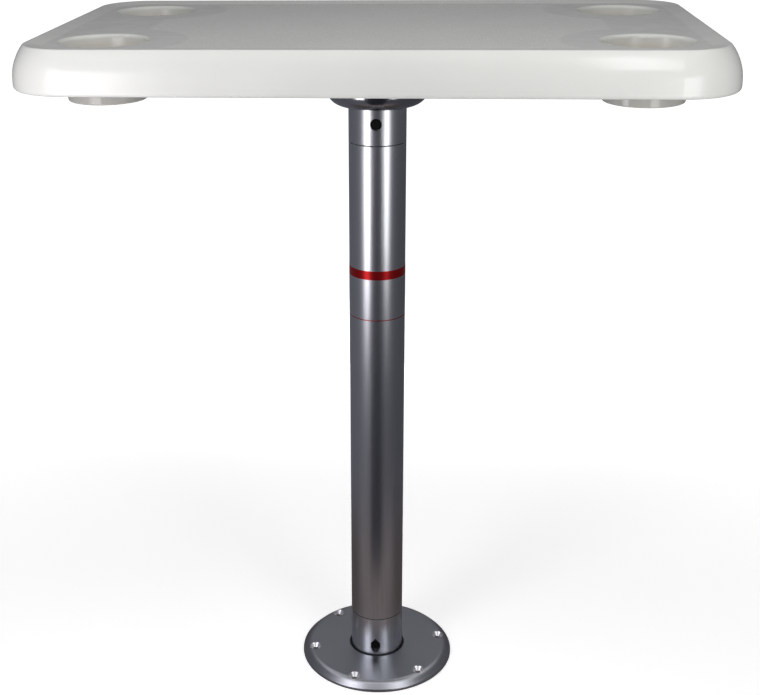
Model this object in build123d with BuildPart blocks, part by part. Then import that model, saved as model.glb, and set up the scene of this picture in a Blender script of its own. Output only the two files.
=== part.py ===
# Single pole table: a moulded top with four cup holders on a quick-release tube and a round floor plate.
# Millimetres. Origin at the middle of the floor plate's underside, +Z up, the release buttons face -Y.
import os
from math import atan2, degrees, sqrt

from build123d import *

os.makedirs("parts", exist_ok=True)

# Moulded top
top_length = 662.0
top_width = 400.0
skirt_height = 40.5
corner_radius = 60.0
skirt_straight = 8.0
skirt_curve = 50.0
crest_radius = 2.0
crest_land = 2.6
foot_radius = 4.0
moulded_wall = 5.0
rim_rise = 2.5
rim_slope = 14.0
rim_blend = 12.0
cavity_draft = 14.0
cavity_blend = 7.0

# Cup holders, one near each corner
cup_inset_x = 80.0
cup_inset_y = 87.0
cup_mouth_radius = 41.5
cup_floor_radius = 33.5
cup_depth = 50.5
cup_wall = 4.0
cup_lip_radius = 4.0
cup_floor_blend = 6.0
cup_foot_blend = 1.5

# Ribs and bracket seat under the top
rib_thickness = 3.0
rib_depth = 24.0
rib_bite = 0.3
ribs_across = 9
ribs_along = 6
seat_recess = 1.5
seat_ring_wall = 3.0
hub_ring_radius = 33.0
screw_boss_radius = 7.5

# Pole
pole_diameter = 60.3
pole_wall = 2.5
pole_length = 660.0
pole_edge = 0.6
hole_inset = 17.8
upper_hole_diameter = 11.8
lower_hole_width = 11.2
lower_hole_side = 3.0
lower_hole_point = 9.6
lower_hole_foot = 9.0
lower_hole_foot_width = 5.0

# Bowl-shaped bracket under the top
bracket_thickness = 3.0
bowl_radius = 53.0
bowl_floor_land = 3.35
bowl_depth = 40.7
bowl_root_blend = 4.0
bracket_screw_land = 22.0
bracket_edge_land = 13.9
bracket_screw_count = 6
bracket_screw_hole_radius = 2.75

# Round floor plate
plate_diameter = 177.8
plate_height = 10.0
plate_rim_slope = 7.5
plate_rim_blend = 8.0
plate_foot_blend = 3.0
floor_screw_circle_diameter = 150.0
floor_screw_count = 6
floor_screw_start = 13.0
floor_screw_hole_radius = 3.3
floor_screw_sink_radius = 7.0

# Moulded plugs that the pole slides over
ring_gap = 2.0
ring_edge = 1.2
base_socket_depth = 5.0
top_socket_depth = 2.2
plug_clearance = 0.2
plug_height = 58.0
plug_wall = 5.5
plug_nose = 4.0
plug_lead_in = 5.0
base_flange_radius = 50.0
flange_clearance = 0.3
flange_side_gap = 3.0
top_column_radius = 36.0
neck_clearance = 0.3
bowl_fit = 0.1

# Release buttons and their springs
button_radius = 5.2
button_clearance = 0.1
button_recess = 0.8
button_edge = 1.5
collar_radius = 8.5
collar_thickness = 3.0
collar_gap = 0.1
stem_radius = 4.0
stem_length = 12.0
guide_radius = 11.0
guide_face = 16.5
spring_seat_radius = 9.0
spring_seat = 18.0
spring_pin_length = 6.0
spring_radius = 5.6
spring_wire = 1.2
spring_turns = 7
spring_gap = 0.1

# Fasteners
bracket_screw_radius = 2.4
bracket_screw_length = 18.0
pan_head_radius = 4.7
pan_head_height = 3.0
pilot_clearance = 0.1
hub_screw_circle_diameter = 82.0
hub_screw_count = 4
hub_screw_start = 45.0
hub_screw_radius = 2.5
hub_screw_depth = 3.5
hub_screw_head_radius = 4.6
hub_screw_head_height = 2.4
hub_screw_sunk = 0.3
driver_slot_width = 1.2
driver_slot_depth = 1.1

# Heights that follow from the stack of pieces
pole_radius = pole_diameter / 2
pole_bore = pole_radius - pole_wall
pole_bottom = plate_height - base_socket_depth
pole_top = pole_bottom + pole_length
collar_hole = pole_radius + ring_gap
bowl_edge = pole_top - top_socket_depth
flange_under = bowl_edge + bowl_depth
seat_height = flange_under + bracket_thickness
bowl_floor = bowl_edge + bracket_thickness
bowl_turn = collar_hole + bowl_floor_land
bowl_corner = bowl_radius - bowl_turn
bowl_turn_height = bowl_edge + bowl_corner
inner_corner = bowl_corner - bracket_thickness
inner_radius = bowl_radius - bracket_thickness
top_flange_radius = inner_radius - flange_side_gap
boss_circle = bowl_radius + bracket_screw_land
bracket_radius = boss_circle + bracket_edge_land
skirt_bottom = seat_height - seat_recess
top_height = skirt_bottom + skirt_height
deck = top_height - rim_rise
deck_under = deck - moulded_wall
rib_foot = deck_under - rib_depth
curve_foot = skirt_bottom + skirt_straight
crest_inset = skirt_curve - sqrt(skirt_curve**2 - (top_height - curve_foot) ** 2)
rim_crest_inset = crest_inset + crest_land
rim_foot_inset = rim_crest_inset + rim_slope
rib_inset = skirt_curve - sqrt(skirt_curve**2 - (deck_under - curve_foot) ** 2) + rib_bite
rib_pitch_x = (top_length - 2 * moulded_wall) / (ribs_across + 1)
rib_pitch_y = (top_width - 2 * moulded_wall) / (ribs_along + 1)
cup_spacing_x = top_length - 2 * cup_inset_x
cup_spacing_y = top_width - 2 * cup_inset_y
cup_floor = deck - cup_depth
cup_bottom = cup_floor - cup_wall
cup_draft = degrees(atan2(cup_mouth_radius - cup_floor_radius, cup_depth))
plug_radius = pole_bore - plug_clearance
plug_hollow = plug_radius - plug_wall
collar_front = guide_face - collar_gap
collar_back = collar_front - collar_thickness
spring_front = spring_gap + spring_wire / 2 - collar_back
spring_length = spring_seat - spring_gap - spring_wire / 2 - spring_front
lower_end = Location((0, 0, pole_bottom))
upper_end = Location((0, 0, pole_top), (0, 180, 0))
on_base = (Align.CENTER, Align.CENTER, Align.MIN)
near = 0.01


def edges_at(piece, height):
    return piece.edges().filter_by_position(Axis.Z, height - near, height + near)


# Table top: skirt block, sunk deck, hollow underside, ribs, bracket seat and cups in one moulding
with BuildPart() as table_top:
    # The skirt bulges outwards: a taller block with a large round on top, cut off level at the crest
    with BuildSketch(Plane.XY.offset(skirt_bottom)):
        RectangleRounded(top_length, top_width, corner_radius)
    extrude(amount=skirt_straight + skirt_curve)
    fillet(table_top.faces().sort_by(Axis.Z)[-1].edges(), skirt_curve)
    split(bisect_by=Plane.XY.offset(top_height), keep=Keep.BOTTOM)
    fillet(table_top.faces().sort_by(Axis.Z)[-1].edges(), crest_radius)
    fillet(table_top.faces().sort_by(Axis.Z)[0].edges(), foot_radius)

    # The deck lies below the crest, inside a sloping rim
    for inset, height in ((rim_crest_inset, top_height), (rim_foot_inset, deck)):
        with BuildSketch(Plane.XY.offset(height)):
            RectangleRounded(
                top_length - 2 * inset, top_width - 2 * inset, corner_radius - inset
            )
    loft(mode=Mode.SUBTRACT)
    fillet(table_top.faces().sort_by(Axis.Z)[-1].inner_wires().edges(), rim_blend)
    fillet(table_top.faces().filter_by(Plane.XY).sort_by(Axis.Z)[-2].edges(), rim_blend)

    # Hollow underside with a drafted wall
    with BuildSketch(Plane.XY.offset(skirt_bottom)):
        RectangleRounded(
            top_length - 2 * moulded_wall,
            top_width - 2 * moulded_wall,
            corner_radius - moulded_wall,
        )
    extrude(amount=deck_under - skirt_bottom, taper=cavity_draft, mode=Mode.SUBTRACT)
    ceiling = table_top.faces().filter_by(Axis.Z).filter_by_position(
        Axis.Z, deck_under - near, deck_under + near
    )
    fillet(ceiling.edges(), cavity_blend)

    # Ribs hang from the deck and run into the skirt
    with BuildSketch(Plane.XY.offset(rib_foot)):
        with GridLocations(rib_pitch_x, 0, ribs_across, 1):
            Rectangle(rib_thickness, top_width)
        with GridLocations(0, rib_pitch_y, 1, ribs_along):
            Rectangle(top_length, rib_thickness)
        RectangleRounded(
            top_length - 2 * rib_inset,
            top_width - 2 * rib_inset,
            corner_radius - rib_inset,
            mode=Mode.INTERSECT,
        )
    extrude(amount=rib_depth)

    # Bracket seat: two ring walls with the screw bosses between them, and a ring that bears on the hub
    seat_rings = (
        boss_circle + screw_boss_radius,
        boss_circle - screw_boss_radius,
        hub_ring_radius,
    )
    with BuildSketch(Plane.XY.offset(seat_height)):
        for ring_radius in seat_rings:
            Circle(ring_radius + seat_ring_wall / 2)
            Circle(ring_radius - seat_ring_wall / 2, mode=Mode.SUBTRACT)
        with PolarLocations(boss_circle, bracket_screw_count):
            Circle(screw_boss_radius)
    extrude(amount=deck_under - seat_height)
    with BuildSketch(Plane.XY.offset(seat_height)):
        with PolarLocations(boss_circle, bracket_screw_count):
            Circle(bracket_screw_radius + pilot_clearance)
    extrude(amount=bracket_screw_length, mode=Mode.SUBTRACT)

    # Cup bodies hang through the ribs, then their pockets open the deck
    with BuildSketch(Plane.XY.offset(cup_bottom)):
        with GridLocations(cup_spacing_x, cup_spacing_y, 2, 2):
            Circle(cup_floor_radius + cup_wall)
    extrude(amount=deck_under + moulded_wall / 2 - cup_bottom, taper=-cup_draft)
    fillet(edges_at(table_top, cup_bottom), cup_foot_blend)
    with BuildSketch(Plane.XY.offset(deck)):
        with GridLocations(cup_spacing_x, cup_spacing_y, 2, 2):
            Circle(cup_mouth_radius)
    extrude(amount=-cup_depth, taper=cup_draft, mode=Mode.SUBTRACT)
    fillet(edges_at(table_top, cup_floor), cup_floor_blend)
    mouths = edges_at(table_top, deck).filter_by(GeomType.CIRCLE)
    fillet(mouths.filter_by(lambda edge: abs(edge.radius - cup_mouth_radius) < near), cup_lip_radius)

# Bowl bracket: a round-cornered bowl with a flat flange, open at the bottom for the pole
with BuildPart() as top_bracket:
    with BuildSketch(Plane.XZ):
        with BuildLine():
            Line((collar_hole, bowl_edge), (bowl_turn, bowl_edge))
            RadiusArc((bowl_turn, bowl_edge), (bowl_radius, bowl_turn_height), -bowl_corner)
            Polyline(
                (bowl_radius, bowl_turn_height),
                (bowl_radius, flange_under),
                (bracket_radius, flange_under),
                (bracket_radius, seat_height),
                (inner_radius, seat_height),
                (inner_radius, bowl_turn_height),
            )
            RadiusArc((inner_radius, bowl_turn_height), (bowl_turn, bowl_floor), inner_corner)
            Polyline((bowl_turn, bowl_floor), (collar_hole, bowl_floor), (collar_hole, bowl_edge))
        make_face()
    revolve(axis=Axis.Z)
    flange_edges = edges_at(top_bracket, flange_under).sort_by(SortBy.RADIUS)
    fillet(flange_edges[0], bowl_root_blend)
    fillet(flange_edges[-1], bracket_thickness / 3)
    fillet(edges_at(top_bracket, bowl_edge).sort_by(SortBy.RADIUS)[0], ring_edge)
    with BuildSketch(Plane.XY.offset(flange_under)):
        with PolarLocations(boss_circle, bracket_screw_count):
            Circle(bracket_screw_hole_radius)
    extrude(amount=bracket_thickness, mode=Mode.SUBTRACT)

# Six pan-head screws from the flange up into the bosses
with BuildPart() as bracket_screws:
    with PolarLocations(boss_circle, bracket_screw_count):
        with Locations((0, 0, flange_under - pan_head_height)):
            Cylinder(pan_head_radius, pan_head_height, align=on_base)
        with Locations((0, 0, flange_under)):
            Cylinder(bracket_screw_radius, bracket_screw_length, align=on_base)
    head_faces = edges_at(bracket_screws, flange_under - pan_head_height)
    fillet(head_faces, pan_head_height / 2)
    with BuildSketch(Plane.XY.offset(flange_under - pan_head_height)):
        with PolarLocations(boss_circle, bracket_screw_count):
            Rectangle(pan_head_radius, driver_slot_width)
            Rectangle(driver_slot_width, pan_head_radius)
    extrude(amount=driver_slot_depth, mode=Mode.SUBTRACT)

# Pole: one tube, a round hole near its top and a longer pointed one near its foot
with BuildPart() as pole:
    with BuildSketch(Plane.XY.offset(pole_bottom)):
        Circle(pole_radius)
        Circle(pole_bore, mode=Mode.SUBTRACT)
    extrude(amount=pole_length)
    chamfer(pole.edges().filter_by(GeomType.CIRCLE), pole_edge)
    with BuildSketch(Plane.XZ):
        with Locations((0, pole_top - hole_inset)):
            Circle(upper_hole_diameter / 2)
        with Locations((0, pole_bottom + hole_inset)):
            Polygon(
                (0, lower_hole_point),
                (-lower_hole_width / 2, lower_hole_side),
                (-lower_hole_width / 2, -lower_hole_side),
                (-lower_hole_foot_width / 2, -lower_hole_foot),
                (lower_hole_foot_width / 2, -lower_hole_foot),
                (lower_hole_width / 2, -lower_hole_side),
                (lower_hole_width / 2, lower_hole_side),
                align=None,
            )
    extrude(amount=pole_radius, mode=Mode.SUBTRACT)

# Floor plate: a thick disc with a sloping soft rim, a pocket for the hub's flange and countersunk holes
with BuildPart() as base_plate:
    Cylinder(plate_diameter / 2, plate_height, align=on_base)
    chamfer(edges_at(base_plate, plate_height), plate_rim_slope)
    fillet(edges_at(base_plate, plate_height), plate_rim_blend)
    fillet(edges_at(base_plate, plate_height - plate_rim_slope), plate_foot_blend)
    with BuildSketch():
        Circle(base_flange_radius + flange_clearance)
    extrude(amount=pole_bottom, mode=Mode.SUBTRACT)
    with BuildSketch():
        Circle(collar_hole)
    extrude(amount=plate_height, mode=Mode.SUBTRACT)
    ring = edges_at(base_plate, plate_height).sort_by(SortBy.RADIUS)[0]
    fillet(ring, ring_edge)
    with Locations((0, 0, plate_height)):
        with PolarLocations(floor_screw_circle_diameter / 2, floor_screw_count, floor_screw_start):
            CounterSinkHole(floor_screw_hole_radius, floor_screw_sink_radius)
    with BuildSketch(Plane.XY.offset(pole_bottom)):
        with PolarLocations(hub_screw_circle_diameter / 2, hub_screw_count, hub_screw_start):
            Circle(hub_screw_radius + pilot_clearance)
    extrude(amount=hub_screw_depth, mode=Mode.SUBTRACT)

# Plug shared by both hubs, drawn with the pole's end at z = 0 and its nose up
with BuildPart() as plug:
    Cylinder(plug_radius, plug_height, align=on_base)
    fillet(plug.faces().sort_by(Axis.Z)[-1].edges(), plug_lead_in)
    Cylinder(plug_hollow, plug_height - plug_nose, align=on_base, mode=Mode.SUBTRACT)
    # Flat guide for the button at the front, spring seat and pin at the back
    with BuildSketch(Plane.XZ.offset(guide_face)):
        with Locations((0, hole_inset)):
            Circle(guide_radius)
    extrude(amount=plug_hollow + plug_wall / 2 - guide_face)
    with BuildSketch(Plane.XZ.offset(-spring_seat)):
        with Locations((0, hole_inset)):
            Circle(spring_seat_radius)
    extrude(amount=spring_seat - plug_hollow - plug_wall / 2)
    with BuildSketch(Plane.XZ.offset(-spring_seat)):
        with Locations((0, hole_inset)):
            Circle(stem_radius)
    extrude(amount=spring_pin_length)
    with BuildSketch(Plane.XZ.offset(guide_face)):
        with Locations((0, hole_inset)):
            Circle(button_radius + button_clearance)
    extrude(amount=plug_radius, mode=Mode.SUBTRACT)

# Base hub: plug on a flange that lies in the plate's pocket, flush with the floor
with BuildPart() as base_hub:
    Cylinder(base_flange_radius, pole_bottom, align=on_base)
    Cylinder(plug_hollow, pole_bottom, align=on_base, mode=Mode.SUBTRACT)
    with Locations((0, 0, pole_bottom)):
        add(plug.part)
    with Locations(Plane((0, 0, hub_screw_sunk), z_dir=(0, 0, -1))):
        with PolarLocations(hub_screw_circle_diameter / 2, hub_screw_count, hub_screw_start):
            CounterSinkHole(
                hub_screw_radius + pilot_clearance,
                hub_screw_head_radius + pilot_clearance,
                depth=pole_bottom,
            )

# Four flat-head screws from below through the hub's flange into the plate
with BuildPart() as hub_screws:
    with PolarLocations(hub_screw_circle_diameter / 2, hub_screw_count, hub_screw_start):
        with Locations((0, 0, hub_screw_sunk)):
            Cone(hub_screw_head_radius, hub_screw_radius, hub_screw_head_height, align=on_base)
            Cylinder(hub_screw_radius, pole_bottom + hub_screw_depth - hub_screw_sunk, align=on_base)
    with BuildSketch(Plane.XY.offset(hub_screw_sunk)):
        with PolarLocations(hub_screw_circle_diameter / 2, hub_screw_count, hub_screw_start):
            Rectangle(hub_screw_head_radius, driver_slot_width)
            Rectangle(driver_slot_width, hub_screw_head_radius)
    extrude(amount=driver_slot_depth, mode=Mode.SUBTRACT)

# Top hub: the same plug nose down, a flange that lies in the bowl and a column up to the moulding's ring
with BuildPart() as top_hub:
    with BuildSketch(Plane.XZ):
        with BuildLine():
            seat_corner = inner_corner - bowl_fit
            flange_rise = seat_corner - sqrt(seat_corner**2 - (top_flange_radius - bowl_turn) ** 2)
            flange_foot = bowl_floor + bowl_fit
            flange_crest = flange_foot + flange_rise
            neck_radius = collar_hole - neck_clearance
            RadiusArc((bowl_turn, flange_foot), (top_flange_radius, flange_crest), -seat_corner)
            Polyline(
                (top_flange_radius, flange_crest),
                (top_column_radius, flange_crest),
                (top_column_radius, seat_height),
                (plug_hollow, seat_height),
                (plug_hollow, pole_top),
                (neck_radius, pole_top),
                (neck_radius, flange_foot),
                (bowl_turn, flange_foot),
            )
        make_face()
    revolve(axis=Axis.Z)
    with Locations(upper_end):
        add(plug.part)

# Release button: nose through the guide and into the pole's hole, collar behind it, stem for the spring
with BuildPart() as button:
    with BuildSketch(Plane.XZ.offset(collar_front)):
        with Locations((0, hole_inset)):
            Circle(collar_radius)
    extrude(amount=-collar_thickness)
    with BuildSketch(Plane.XZ.offset(collar_front)):
        with Locations((0, hole_inset)):
            Circle(button_radius)
    extrude(amount=pole_radius - button_recess - collar_front)
    fillet(button.faces().sort_by(Axis.Y)[0].edges(), button_edge)
    with BuildSketch(Plane.XZ.offset(collar_back)):
        with Locations((0, hole_inset)):
            Circle(stem_radius)
    extrude(amount=-stem_length)

# Coil spring between the collar and the seat at the back of the plug
with BuildPart() as spring:
    with BuildLine() as coil:
        Helix(
            spring_length / spring_turns,
            spring_length,
            spring_radius,
            center=(0, spring_front, hole_inset),
            direction=(0, 1, 0),
        )
    with BuildSketch(Plane(coil.line @ 0, z_dir=coil.line % 0)):
        Circle(spring_wire / 2)
    sweep(path=coil.line, is_frenet=True)

with BuildPart() as lower_release_button:
    with Locations(lower_end):
        add(button.part)
with BuildPart() as upper_release_button:
    with Locations(upper_end):
        add(button.part)
with BuildPart() as lower_button_spring:
    with Locations(lower_end):
        add(spring.part)
with BuildPart() as upper_button_spring:
    with Locations(upper_end):
        add(spring.part)

pieces = {
    "table_top": table_top,
    "top_bracket": top_bracket,
    "bracket_screws": bracket_screws,
    "top_hub": top_hub,
    "upper_release_button": upper_release_button,
    "upper_button_spring": upper_button_spring,
    "pole": pole,
    "base_plate": base_plate,
    "base_hub": base_hub,
    "hub_screws": hub_screws,
    "lower_release_button": lower_release_button,
    "lower_button_spring": lower_button_spring,
}
for node, piece in pieces.items():
    piece.part.label = node
    export_step(piece.part, f"parts/{node}.step")
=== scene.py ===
import math

import bpy
from mathutils import Matrix, Vector


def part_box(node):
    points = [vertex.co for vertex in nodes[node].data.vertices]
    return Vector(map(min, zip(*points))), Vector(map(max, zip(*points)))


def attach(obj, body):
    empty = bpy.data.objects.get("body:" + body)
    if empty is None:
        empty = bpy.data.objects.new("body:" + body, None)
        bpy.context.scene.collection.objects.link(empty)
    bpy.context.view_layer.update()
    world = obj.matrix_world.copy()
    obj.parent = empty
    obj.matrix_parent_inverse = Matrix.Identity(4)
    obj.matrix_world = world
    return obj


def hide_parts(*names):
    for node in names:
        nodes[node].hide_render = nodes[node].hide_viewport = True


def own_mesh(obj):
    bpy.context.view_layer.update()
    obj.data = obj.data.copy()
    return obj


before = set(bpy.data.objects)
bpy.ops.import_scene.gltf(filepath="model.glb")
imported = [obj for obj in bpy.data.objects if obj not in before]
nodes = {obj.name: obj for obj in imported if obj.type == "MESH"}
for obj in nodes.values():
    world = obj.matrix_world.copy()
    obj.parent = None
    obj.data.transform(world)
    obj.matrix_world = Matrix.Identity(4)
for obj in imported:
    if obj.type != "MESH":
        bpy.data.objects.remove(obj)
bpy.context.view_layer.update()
print("frame loaded:", len(nodes), "nodes")

mm = 0.001
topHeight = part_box("table_top")[1].z
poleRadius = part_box("pole")[1].x
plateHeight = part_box("base_plate")[1].z
noiseSpan = (0.3, 0.7)  # the part of a noise texture's range that holds most of it
fineDetail = 3.0  # noise detail of the finest grains


# Shader helpers: a value that is a socket is linked, any other value is set on the socket
def addNode(tree, kind, inputs, **settings):
    node = tree.nodes.new("ShaderNode" + kind)
    for key, value in settings.items():
        setattr(node, key, value)
    for key, value in inputs.items():
        if isinstance(value, bpy.types.NodeSocket):
            tree.links.new(value, node.inputs[key])
        else:
            node.inputs[key].default_value = value
    return node


def link(tree, value, node, socket):
    tree.links.new(value, node.inputs[socket])


def calc(tree, operation, first, second=0.0):
    return addNode(tree, "Math", {0: first, 1: second}, operation=operation).outputs[0]


def remap(tree, value, fromLow, fromHigh, low, high, smooth=False):
    settings = {"interpolation_type": "SMOOTHSTEP"} if smooth else {}
    ends = {0: value, 1: fromLow, 2: fromHigh, 3: low, 4: high}
    return addNode(tree, "MapRange", ends, **settings).outputs[0]


def blend(tree, factor, first, second):
    return addNode(tree, "Mix", {0: factor, 2: first, 3: second}).outputs[0]


def opaque(colour):
    return colour if isinstance(colour, bpy.types.NodeSocket) else (*colour, 1)


def blendColour(tree, factor, first, second):
    ends = {0: factor, 6: opaque(first), 7: opaque(second)}
    return addNode(tree, "Mix", ends, data_type="RGBA").outputs[2]


def place(tree):
    return addNode(tree, "TexCoord", {}).outputs["Object"]


def axes(tree):
    return addNode(tree, "SeparateXYZ", {0: place(tree)}).outputs


def distance(tree, x, y):
    squares = calc(tree, "ADD", calc(tree, "MULTIPLY", x, x), calc(tree, "MULTIPLY", y, y))
    return calc(tree, "SQRT", squares)


def stripe(tree, height, low, high, soft):
    rise = remap(tree, height, low - soft, low + soft, 0, 1)
    fall = remap(tree, height, high - soft, high + soft, 1, 0)
    return calc(tree, "MULTIPLY", rise, fall)


def grain(tree, scale, stretch=(1, 1, 1), detail=2.0):
    spot = addNode(tree, "Mapping", {"Vector": place(tree), "Scale": stretch}).outputs[0]
    return addNode(tree, "TexNoise", {"Vector": spot, "Scale": scale, "Detail": detail}).outputs[0]


def contrast(tree, noise, low=0, high=1):
    return remap(tree, noise, *noiseSpan, low, high)


def roughness(tree, speckle, look):
    down, up = look["swing"]
    return remap(tree, speckle, 0, 1, look["roughness"] - down, look["roughness"] + up)


def startMaterial(name, look):
    material = bpy.data.materials.new(name)
    material.use_nodes = True
    tree = material.node_tree
    shader = tree.nodes["Principled BSDF"]
    shader.inputs["Base Color"].default_value = opaque(look["colour"])
    shader.inputs["Roughness"].default_value = look["roughness"]
    shader.inputs["Metallic"].default_value = look.get("metallic", 0)
    return material, tree, shader


def addBump(tree, shader, height, look):
    bump = addNode(tree, "Bump", {"Height": height, "Strength": look["bump"], "Distance": look["depth"]})
    link(tree, bump.outputs[0], shader, "Normal")


def dress(node, material):
    for slot in nodes[node].material_slots:
        slot.material = material


# Modelling helper: leaves edit mode on with only the wanted points, edges or faces selected
def selectOnly(piece, kind, wanted):
    bpy.ops.object.mode_set(mode="EDIT")
    bpy.ops.mesh.select_all(action="DESELECT")
    bpy.ops.object.mode_set(mode="OBJECT")
    for part in getattr(piece.data, kind):
        part.select = wanted(part)
    bpy.ops.object.mode_set(mode="EDIT")


# White moulding: gloss skin, finer matte panel in the middle of the deck, and painted shade: a warmer,
# darker tone inside the cups and a darker grey on the cups' undersides
moulding = {
    "colour": (0.80, 0.81, 0.775),
    "shade": (0.775, 0.78, 0.75),
    "mottleScale": 14,
    "roughness": 0.17,
    "roughnessSwing": 0.03,
    "skinScale": 60,
    "peelScale": 160,
    "peelDetail": 1.0,
    "peelShare": 0.35,
    "bump": 0.25,
    "depth": 0.15 * mm,
    "deckHeight": topHeight - 2.5 * mm,
    "deckBand": 1.0 * mm,
    "deckSoft": 0.2 * mm,
    "cup": (0.78, 0.745, 0.675),
    "cupRoughness": 0.24,
    "cupPlace": (0.251, 0.113),
    "cupMouth": 0.043,
    "cupEdge": 2 * mm,
    "cupWall": (12 * mm, 3 * mm),  # below the deck, from full painted shade to none
    "under": (0.50, 0.485, 0.455),
    "underRoughness": 0.10,
    "skirtFoot": topHeight - 40.5 * mm,
    "hangReach": (3 * mm, 1 * mm),  # below the skirt's foot and above it
    "panelHalf": (0.226, 0.160),
    "panelClear": 0.078,
    "panelEdge": 2 * mm,
    "panelRoughness": 0.23,
    "panelSwing": 0.05,
    "panelScale": 900,
    "stippleScale": 1500,
}


def whiteMoulding():
    look = moulding
    material, tree, shader = startMaterial("gloss white moulding", look)
    x, y, z = axes(tree)
    acrossX = calc(tree, "ABSOLUTE", x)
    acrossY = calc(tree, "ABSOLUTE", y)
    cupX = calc(tree, "SUBTRACT", acrossX, look["cupPlace"][0])
    cupY = calc(tree, "SUBTRACT", acrossY, look["cupPlace"][1])
    cupReach = distance(tree, cupX, cupY)
    deck = look["deckHeight"]

    # Painted shade: the cups' inner walls get a warmer, darker tone that stands in for the shade and warm
    # inter-reflection inside each cup; the same mask makes them rougher
    shadeFull, shadeStart = look["cupWall"]
    inCup = remap(tree, cupReach, look["cupMouth"] - look["cupEdge"], look["cupMouth"], 1, 0)
    below = remap(tree, z, deck - shadeFull, deck - shadeStart, 1, 0)
    cupMask = calc(tree, "MULTIPLY", inCup, below)

    # The fine-grained panel keeps clear of the rim and of each cup
    edge = look["panelEdge"]
    halfX, halfY = look["panelHalf"]
    inX = remap(tree, acrossX, halfX - edge, halfX + edge, 1, 0)
    inY = remap(tree, acrossY, halfY - edge, halfY + edge, 1, 0)
    offCup = remap(tree, cupReach, look["panelClear"] - edge, look["panelClear"] + edge, 0, 1)
    onDeck = stripe(tree, z, deck - look["deckBand"], deck + look["deckBand"], look["deckSoft"])
    inside = calc(tree, "MULTIPLY", inX, inY)
    panel = calc(tree, "MULTIPLY", inside, calc(tree, "MULTIPLY", offCup, onDeck))

    # Painted shade: the cups' undersides hang below the skirt in its shade and are coloured darker grey;
    # they are also glossier
    hangLow, hangHigh = look["hangReach"]
    hanging = remap(tree, z, look["skirtFoot"] - hangLow, look["skirtFoot"] + hangHigh, 1, 0)

    mottle = contrast(tree, grain(tree, look["mottleScale"]))
    colour = blendColour(tree, mottle, look["colour"], look["shade"])
    colour = blendColour(tree, cupMask, colour, look["cup"])
    colour = blendColour(tree, hanging, colour, look["under"])
    link(tree, colour, shader, "Base Color")

    skinLow = look["roughness"] - look["roughnessSwing"]
    skinHigh = look["roughness"] + look["roughnessSwing"]
    skin = contrast(tree, grain(tree, look["skinScale"]), skinLow, skinHigh)
    matteLow = look["panelRoughness"] - look["panelSwing"]
    matteHigh = look["panelRoughness"] + look["panelSwing"]
    matte = contrast(tree, grain(tree, look["panelScale"]), matteLow, matteHigh)
    rough = blend(tree, panel, skin, matte)
    rough = blend(tree, cupMask, rough, look["cupRoughness"])
    rough = blend(tree, hanging, rough, look["underRoughness"])
    link(tree, rough, shader, "Roughness")

    waves = grain(tree, look["peelScale"], detail=look["peelDetail"])
    peel = calc(tree, "MULTIPLY", waves, look["peelShare"])
    stipple = calc(tree, "MULTIPLY", grain(tree, look["stippleScale"], detail=fineDetail), panel)
    addBump(tree, shader, calc(tree, "ADD", peel, stipple), look)
    return material


# Satin tube with a thin printed line beside each release hole
tube = {
    "colour": (0.62, 0.63, 0.66),
    "dark": (0.54, 0.55, 0.58),
    "metallic": 1.0,
    "roughness": 0.30,
    "swing": (0.02, 0.03),
    "grain": 900,
    "stretch": (1, 1, 0.02),
    "bump": 0.06,
    "depth": 0.02 * mm,
    "ink": (0.03, 0.03, 0.032),
    "inkDepth": (1.0 * mm, 0.5 * mm),  # below the outer face, from no ink to full
    "lineHeights": (0.0589, 0.6248),
    "lineWidth": 1.2 * mm,
    "lineSoft": 0.15 * mm,
    "lineReach": 66,  # degrees to each side of the front
    "lineEnd": 0.02,  # radians, half of each soft end
}


def frontAngle(tree, x, y):
    ahead = calc(tree, "MULTIPLY", y, -1.0)
    return calc(tree, "ABSOLUTE", calc(tree, "ARCTAN2", x, ahead))


def satinTube():
    look = tube
    material, tree, shader = startMaterial("satin aluminium tube", look)
    x, y, z = axes(tree)
    half = look["lineWidth"] / 2
    lines = 0.0
    for height in look["lineHeights"]:
        line = stripe(tree, z, height - half, height + half, look["lineSoft"])
        lines = calc(tree, "ADD", line, lines)
    reach = math.radians(look["lineReach"])
    front = remap(tree, frontAngle(tree, x, y), reach - look["lineEnd"], reach + look["lineEnd"], 1, 0)
    inkNone, inkFull = look["inkDepth"]
    outside = remap(tree, distance(tree, x, y), poleRadius - inkNone, poleRadius - inkFull, 0, 1)
    ink = calc(tree, "MULTIPLY", calc(tree, "MULTIPLY", lines, front), outside)

    # Drawn aluminium: long fine streaks along the tube
    drawn = contrast(tree, grain(tree, look["grain"], look["stretch"], fineDetail))
    metal = blendColour(tree, drawn, look["colour"], look["dark"])
    link(tree, blendColour(tree, ink, metal, look["ink"]), shader, "Base Color")
    link(tree, remap(tree, ink, 0, 1, look["metallic"], 0), shader, "Metallic")
    link(tree, roughness(tree, drawn, look), shader, "Roughness")
    addBump(tree, shader, drawn, look)
    return material


# Floor plate: darker satin disc with bright machined countersinks
disc = {
    "colour": (0.43, 0.44, 0.48),
    "dark": (0.39, 0.40, 0.44),
    "metallic": 1.0,
    "roughness": 0.34,
    "swing": (0.03, 0.03),
    "grain": 700,
    "bump": 0.05,
    "depth": 0.03 * mm,
    "bright": (0.72, 0.72, 0.74),
    "sinkRoughness": 0.36,
    "holeCircle": 0.075,
    "holeCount": 6,
    "holeStart": 13,
    "sinkRadius": 7.1 * mm,
    "sinkEdge": 0.2 * mm,
    "sinkDepth": (0.2 * mm, 0.05 * mm),  # below the plate's face, from full brightness to none
}


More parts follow.
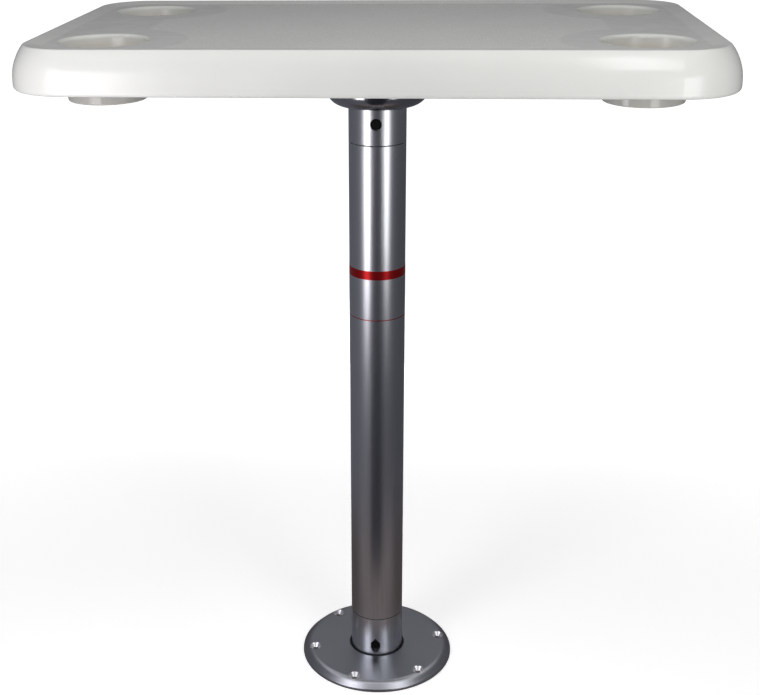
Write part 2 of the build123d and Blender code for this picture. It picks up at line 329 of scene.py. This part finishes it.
def satinDisc():
    look = disc
    material, tree, shader = startMaterial("satin floor plate", look)
    x, y, z = axes(tree)
    sinks = 0.0
    for index in range(look["holeCount"]):
        turn = math.radians(look["holeStart"] + 360 * index / look["holeCount"])
        acrossX = calc(tree, "SUBTRACT", x, look["holeCircle"] * math.cos(turn))
        acrossY = calc(tree, "SUBTRACT", y, look["holeCircle"] * math.sin(turn))
        reach = distance(tree, acrossX, acrossY)
        inside = remap(tree, reach, look["sinkRadius"] - look["sinkEdge"], look["sinkRadius"], 1, 0)
        sinks = calc(tree, "ADD", inside, sinks)
    sinkFull, sinkNone = look["sinkDepth"]
    below = remap(tree, z, plateHeight - sinkFull, plateHeight - sinkNone, 1, 0)
    sunk = calc(tree, "MULTIPLY", sinks, below)

    satin = contrast(tree, grain(tree, look["grain"], detail=fineDetail))
    metal = blendColour(tree, satin, look["colour"], look["dark"])
    link(tree, blendColour(tree, sunk, metal, look["bright"]), shader, "Base Color")
    rough = blend(tree, sunk, roughness(tree, satin, look), look["sinkRoughness"])
    link(tree, rough, shader, "Roughness")
    addBump(tree, shader, satin, look)
    return material


# Plain metals and plastics of the smaller pieces
plain = {"swing": (0.03, 0.04), "bump": 0.1, "sheen": 0.5}
finishes = {
    "polished bowl": {
        "colour": (0.50, 0.50, 0.53), "dark": (0.44, 0.44, 0.47), "metallic": 1.0,
        "roughness": 0.16, "grain": 500, "depth": 0.02 * mm},
    "matte black plastic": {
        "colour": (0.020, 0.020, 0.022), "dark": (0.013, 0.013, 0.014),
        "roughness": 0.55, "grain": 1200, "depth": 0.08 * mm},
    # Near black with little sheen: the buttons' own black plastic, darkened further as painted shade for
    # their recess in the release holes
    "black button plastic": {
        "colour": (0.004, 0.004, 0.004), "dark": (0.002, 0.002, 0.002), "sheen": 0.12,
        "roughness": 0.60, "grain": 1500, "depth": 0.05 * mm},
    "zinc plated screw": {
        "colour": (0.60, 0.60, 0.62), "dark": (0.48, 0.48, 0.51), "metallic": 1.0,
        "roughness": 0.32, "grain": 1800, "depth": 0.03 * mm},
    "spring wire": {
        "colour": (0.45, 0.45, 0.47), "dark": (0.34, 0.34, 0.36), "metallic": 1.0,
        "roughness": 0.28, "grain": 2500, "depth": 0.02 * mm},
}


def plainFinish(name):
    look = {**plain, **finishes[name]}
    material, tree, shader = startMaterial(name, look)
    speckle = contrast(tree, grain(tree, look["grain"], detail=fineDetail))
    link(tree, blendColour(tree, speckle, look["colour"], look["dark"]), shader, "Base Color")
    link(tree, roughness(tree, speckle, look), shader, "Roughness")
    shader.inputs["Specular IOR Level"].default_value = look["sheen"]
    addBump(tree, shader, speckle, look)
    return material


# Silver film label round the front of the tube, with a plain red band and a thin red line
film = {
    "colour": (0.62, 0.63, 0.66),
    "dark": (0.55, 0.56, 0.59),
    "metallic": 1.0,
    "roughness": 0.30,
    "swing": (0.02, 0.04),
    "grain": 1100,
    "bump": 0.08,
    "depth": 0.02 * mm,
    "red": (0.40, 0.008, 0.010),
    "redMetallic": 0.8,
    "band": (0.4811, 0.4909),
    "line": (0.4348, 0.4358),
    "inkSoft": 0.12 * mm,
    "low": 0.3748,
    "high": 0.4919,
    "wrap": 108,  # degrees to each side of the front
    "lift": 0.03 * mm,
    "thickness": 0.10 * mm,
    "steps": 180,
    "smooth": 30,
}


def silverFilm():
    look = film
    material, tree, shader = startMaterial("silver film", look)
    z = axes(tree)["Z"]
    band = stripe(tree, z, *look["band"], look["inkSoft"])
    thin = stripe(tree, z, *look["line"], look["inkSoft"])
    ink = calc(tree, "ADD", band, thin)
    silk = contrast(tree, grain(tree, look["grain"], detail=fineDetail))
    base = blendColour(tree, silk, look["colour"], look["dark"])
    link(tree, blendColour(tree, ink, base, look["red"]), shader, "Base Color")
    link(tree, remap(tree, ink, 0, 1, look["metallic"], look["redMetallic"]), shader, "Metallic")
    link(tree, roughness(tree, silk, look), shader, "Roughness")
    addBump(tree, shader, silk, look)
    return material


def makeFilm():
    look = film
    bpy.ops.object.select_all(action="DESELECT")
    bpy.ops.mesh.primitive_cylinder_add(
        vertices=look["steps"], radius=poleRadius + look["lift"], depth=look["high"] - look["low"],
        end_fill_type="NOTHING", location=(0, 0, (look["high"] + look["low"]) / 2))
    piece = bpy.context.object
    piece.name = "label_film"
    bpy.ops.object.transform_apply(location=True, rotation=True, scale=True)

    # The film's ends stand apart at the back of the tube
    def atBack(face):
        turn = math.degrees(math.atan2(face.center.x, -face.center.y))
        return abs(turn) > look["wrap"]

    selectOnly(piece, "polygons", atBack)
    bpy.ops.mesh.delete(type="FACE")
    bpy.ops.object.mode_set(mode="OBJECT")

    wall = piece.modifiers.new("wall", "SOLIDIFY")
    wall.thickness = look["thickness"]
    wall.offset = 1
    bpy.ops.object.modifier_apply(modifier=wall.name)
    bpy.ops.object.shade_smooth_by_angle(angle=math.radians(look["smooth"]))
    piece.data.materials.append(silverFilm())
    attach(piece, "frame")
    return piece


labelFilm = makeFilm()
print("film made:", len(labelFilm.data.polygons), "faces")

dress("table_top", whiteMoulding())
dress("pole", satinTube())
dress("base_plate", satinDisc())
dress("top_bracket", plainFinish("polished bowl"))
blackPlastic = plainFinish("matte black plastic")
for hub in ("top_hub", "base_hub"):
    dress(hub, blackPlastic)
blackButton = plainFinish("black button plastic")
for button in ("upper_release_button", "lower_release_button"):
    dress(button, blackButton)
zinc = plainFinish("zinc plated screw")
for screws in ("bracket_screws", "hub_screws"):
    dress(screws, zinc)
print("finishes assigned")


# Button springs: welded, smooth-shaded copies of the CAD coils, which take the hidden CAD coils' place
coil = {
    "travel": 3.5 * mm,
    "weld": 0.001 * mm,
    "smooth": 40,
}


def makeCoil(end, material):
    look = coil
    node = end + "_button_spring"
    piece = bpy.data.objects.new(end + "_spring_coil", nodes[node].data.copy())
    bpy.context.scene.collection.objects.link(piece)
    bpy.ops.object.select_all(action="DESELECT")
    piece.select_set(True)
    bpy.context.view_layer.objects.active = piece
    bpy.ops.object.mode_set(mode="EDIT")
    bpy.ops.mesh.select_all(action="SELECT")
    bpy.ops.mesh.remove_doubles(threshold=look["weld"])
    bpy.ops.object.mode_set(mode="OBJECT")
    bpy.ops.object.shade_smooth_by_angle(angle=math.radians(look["smooth"]))
    piece.data.materials.clear()
    piece.data.materials.append(material)
    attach(piece, "frame")
    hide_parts(node)
    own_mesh(piece)
    return piece


wire = plainFinish("spring wire")
springCoils = [makeCoil(end, wire) for end in ("upper", "lower")]
print("springs made:", [len(piece.data.polygons) for piece in springCoils], "faces")

# Camera at the photograph's place, in metres, degrees and millimetres of lens
lens = {
    "spot": (0.071681, -1.296009, 0.911806),
    "yaw": -5.515,
    "pitch": 21.201,
    "roll": -0.778,
    "focal": 59.828,
    "sensor": 36,
    "shift": (0.0672, -0.0169),
    "clipEnd": 60,
}


def setCamera():
    yaw, pitch, roll = (math.radians(lens[key]) for key in ("yaw", "pitch", "roll"))
    ahead = Vector((math.sin(yaw) * math.cos(pitch), math.cos(yaw) * math.cos(pitch), -math.sin(pitch)))
    level = ahead.cross(Vector((0, 0, 1))).normalized()
    upward = level.cross(ahead)
    right = math.cos(roll) * level + math.sin(roll) * upward
    top = math.cos(roll) * upward - math.sin(roll) * level
    data = bpy.data.cameras.new("camera")
    data.lens = lens["focal"]
    data.sensor_width = lens["sensor"]
    data.shift_x, data.shift_y = lens["shift"]
    data.clip_end = lens["clipEnd"]
    camera = bpy.data.objects.new("camera", data)
    bpy.context.scene.collection.objects.link(camera)
    turn = Matrix((right, top, -ahead)).transposed().to_4x4()
    camera.matrix_world = Matrix.Translation(lens["spot"]) @ turn
    bpy.context.scene.camera = camera


# Soft boxes beside the camera and a low one behind, a pale floor and a quiet room
studio = {
    "boxes": (
        {"name": "leftBox", "turn": -40.2, "away": 0.67, "width": 0.33, "low": 0.24, "high": 0.90,
         "watts": 2.84, "tint": (0.985, 0.965, 1.0), "fade": (0.4, 0.1)},
        {"name": "rightBox", "turn": 41.0, "away": 0.67, "width": 0.29, "low": 0.31, "high": 0.82,
         "watts": 1.75, "fade": (0.2, 0.45)},
        {"name": "windowBox", "turn": 29.0, "away": 0.62, "width": 0.10, "low": 0.94, "high": 1.30,
         "watts": 0.51},
        {"name": "backBox", "turn": 180, "away": 1.3, "width": 1.0, "low": 0.20, "high": 0.72,
         "watts": 5.5, "mirrored": False},
    ),
    "topBox": {"name": "topBox", "place": (0.05, -0.35, 1.50), "width": 0.9, "depth": 0.5,
               "watts": 3.75, "mirrored": False},
    "roomStrength": 0.16,
    "floorHalf": 14.0,
    "floor": {"colour": (0.86, 0.86, 0.86), "roughness": 0.9},
    "floorGlow": (0.58, 1.0),
    "floorGlowReach": (0.3, 1.8),
}


# A box dims towards its two sides over these shares of its width
def fadeSides(data, leftShare, rightShare):
    data.use_nodes = True
    tree = data.node_tree
    spot = addNode(tree, "NewGeometry", {}).outputs["Parametric"]
    across = addNode(tree, "SeparateXYZ", {0: spot}).outputs["X"]
    rise = remap(tree, across, 0, leftShare, 0, 1, smooth=True)
    fall = remap(tree, across, 1 - rightShare, 1, 1, 0, smooth=True)
    link(tree, calc(tree, "MULTIPLY", rise, fall), tree.nodes["Emission"], "Strength")


def addLamp(box, height):
    data = bpy.data.lights.new(box["name"], "AREA")
    data.shape = "RECTANGLE"
    data.size = box["width"]
    data.size_y = height
    data.energy = box["watts"]
    data.color = box.get("tint", (1, 1, 1))
    if "fade" in box:
        fadeSides(data, *box["fade"])
    lamp = bpy.data.objects.new(box["name"], data)
    lamp.visible_camera = False
    lamp.visible_glossy = box.get("mirrored", True)
    bpy.context.scene.collection.objects.link(lamp)
    return lamp


def addStandingBox(box):
    turn = math.radians(box["turn"])
    middle = (box["low"] + box["high"]) / 2
    lamp = addLamp(box, box["high"] - box["low"])
    lamp.location = (box["away"] * math.sin(turn), -box["away"] * math.cos(turn), middle)
    lamp.rotation_euler = (math.pi / 2, 0, turn)


def addTopBox():
    box = studio["topBox"]
    lamp = addLamp(box, box["depth"])
    lamp.location = box["place"]


def seenRay(tree):
    path = addNode(tree, "LightPath", {}).outputs
    mirror = calc(tree, "MAXIMUM", path["Is Glossy Ray"], path["Is Transmission Ray"])
    return calc(tree, "MAXIMUM", path["Is Camera Ray"], mirror)


def setRoom():
    world = bpy.data.worlds.new("room")
    world.use_nodes = True
    bpy.context.scene.world = world
    tree = world.node_tree
    background = tree.nodes["Background"]
    background.inputs["Color"].default_value = (1, 1, 1, 1)
    strength = remap(tree, seenRay(tree), 0, 1, studio["roomStrength"], 1)
    link(tree, strength, background, "Strength")


def setFloor():
    bpy.ops.object.select_all(action="DESELECT")
    bpy.ops.mesh.primitive_plane_add(size=2 * studio["floorHalf"], location=(0, 0, 0))
    floor = bpy.context.object
    floor.name = "floor"
    material, tree, shader = startMaterial("pale floor", studio["floor"])
    spot = axes(tree)
    reach = distance(tree, spot["X"], spot["Y"])
    glow = remap(tree, reach, *studio["floorGlowReach"], *studio["floorGlow"], smooth=True)
    shader.inputs["Emission Color"].default_value = (1, 1, 1, 1)
    link(tree, calc(tree, "MULTIPLY", glow, seenRay(tree)), shader, "Emission Strength")
    shader.inputs["Specular IOR Level"].default_value = 0
    floor.data.materials.append(material)


# Dark cards that only reflections see: a board on the floor, browner near the plate, a grey wall
# around it all, and a black gap between the boxes
cards = {
    "board": {"radius": 6.0, "steps": 96, "height": 0.3 * mm, "colour": (0.12, 0.124, 0.142),
              "brown": (0.155, 0.13, 0.125), "brownReach": (0.2, 0.55),
              "sides": (1.1, 0.65), "sideReach": 0.4, "front": (1.35, 0.55), "frontReach": (-0.16, 0.02)},
    "wall": {"radius": 4.5, "steps": 96, "rise": 5.0, "colour": (0.14, 0.144, 0.156)},
    "gap": {"nearHalf": 0.115, "farHalf": 1.2, "near": 0.23, "far": 2.4, "height": 0.6 * mm,
            "rise": 3.0, "colour": (0.02, 0.022, 0.03)},
}


# The board is brighter in front of the plate than behind it, and further out on the left
def shadeBoard(tree, glow, look):
    spot = axes(tree)
    far = remap(tree, distance(tree, spot["X"], spot["Y"]), *look["brownReach"], 0, 1, smooth=True)
    link(tree, blendColour(tree, far, look["brown"], look["colour"]), glow, "Color")
    side = remap(tree, spot["X"], -look["sideReach"], look["sideReach"], *look["sides"])
    front = remap(tree, spot["Y"], *look["frontReach"], *look["front"], smooth=True)
    link(tree, blend(tree, far, front, side), glow, "Strength")


def finishCard(card, name, look):
    card.name = name
    material = bpy.data.materials.new(name)
    material.use_nodes = True
    tree = material.node_tree
    tree.nodes.remove(tree.nodes["Principled BSDF"])
    glow = addNode(tree, "Emission", {"Color": opaque(look["colour"]), "Strength": 1.0})
    if "brown" in look:
        shadeBoard(tree, glow, look)
    link(tree, glow.outputs[0], tree.nodes["Material Output"], "Surface")
    card.data.materials.append(material)
    card.visible_camera = False
    card.visible_diffuse = False
    card.visible_shadow = False
    card.visible_transmission = False


def setBoard():
    look = cards["board"]
    bpy.ops.object.select_all(action="DESELECT")
    bpy.ops.mesh.primitive_circle_add(vertices=look["steps"], radius=look["radius"], fill_type="NGON",
                                      location=(0, 0, look["height"]))
    finishCard(bpy.context.object, "brown_board", look)


def setWall():
    look = cards["wall"]
    bpy.ops.object.select_all(action="DESELECT")
    bpy.ops.mesh.primitive_cylinder_add(vertices=look["steps"], radius=look["radius"], depth=look["rise"],
                                        end_fill_type="NOTHING", location=(0, 0, look["rise"] / 2))
    bpy.ops.object.transform_apply(location=True, rotation=True, scale=True)
    finishCard(bpy.context.object, "grey_wall", look)


def setGap():
    look = cards["gap"]
    middle = -(look["near"] + look["far"]) / 2
    bpy.ops.object.select_all(action="DESELECT")
    bpy.ops.mesh.primitive_plane_add(size=1, location=(0, middle, look["height"]))
    runner = bpy.context.object
    runner.scale = (2 * look["farHalf"], look["far"] - look["near"], 1)
    bpy.ops.object.transform_apply(location=True, rotation=True, scale=True)

    # The near end is narrowed, and the far end turns up into a wall
    def isNear(point):
        return point.co.y > middle

    def isFar(edge):
        return not any(isNear(runner.data.vertices[index]) for index in edge.vertices)

    selectOnly(runner, "vertices", isNear)
    bpy.ops.transform.resize(value=(look["nearHalf"] / look["farHalf"], 1, 1), center_override=(0, 0, 0))
    selectOnly(runner, "edges", isFar)
    bpy.ops.mesh.extrude_region_move(TRANSFORM_OT_translate={"value": (0, 0, look["rise"])})
    bpy.ops.object.mode_set(mode="OBJECT")
    finishCard(runner, "black_gap", look)


setCamera()
for softBox in studio["boxes"]:
    addStandingBox(softBox)
addTopBox()
setRoom()
setFloor()
setBoard()
setWall()
setGap()
bpy.context.scene.view_settings.view_transform = "Standard"
print("studio set")
